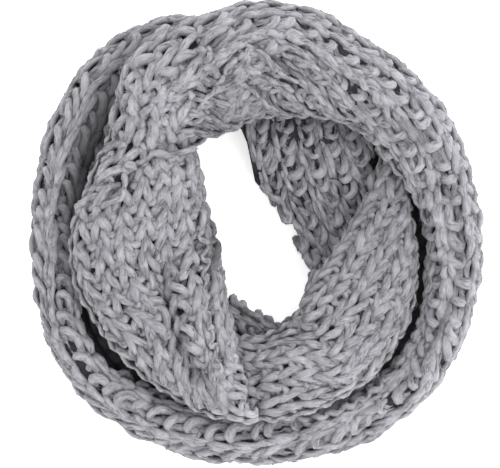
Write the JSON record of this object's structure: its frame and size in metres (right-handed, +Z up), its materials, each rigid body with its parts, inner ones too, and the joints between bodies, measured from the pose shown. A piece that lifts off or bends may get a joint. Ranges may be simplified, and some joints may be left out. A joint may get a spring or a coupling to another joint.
{
  "type": "infinity scarf",
  "caption": "Chunky rib-knit infinity scarf, one closed loop wound twice and laid down flat in a ring with an open neck hole.",
  "frame": {"origin": "centre of the bounding box at the surface that the scarf lies on", "axes": "+Z up, away from the surface; +Y towards the side where the top stretch crosses over; +X to the right of it"},
  "size_m": [0.3406, 0.3477, 0.093],
  "materials": {
    "knit": "matt brushed chunky wool-blend yarn, light cool grey"
  },
  "bodies": {
    "root": {"inner_left": "knit", "top_over": "knit", "outer_right": "knit", "outer_bottom": "knit", "outer_left": "knit", "under_top": "knit", "lower_lip": "knit", "inner_right": "knit", "inner_bottom": "knit", "hidden_layers": "knit", "hidden_top_fold": "knit"}
  },
  "joints": []
}
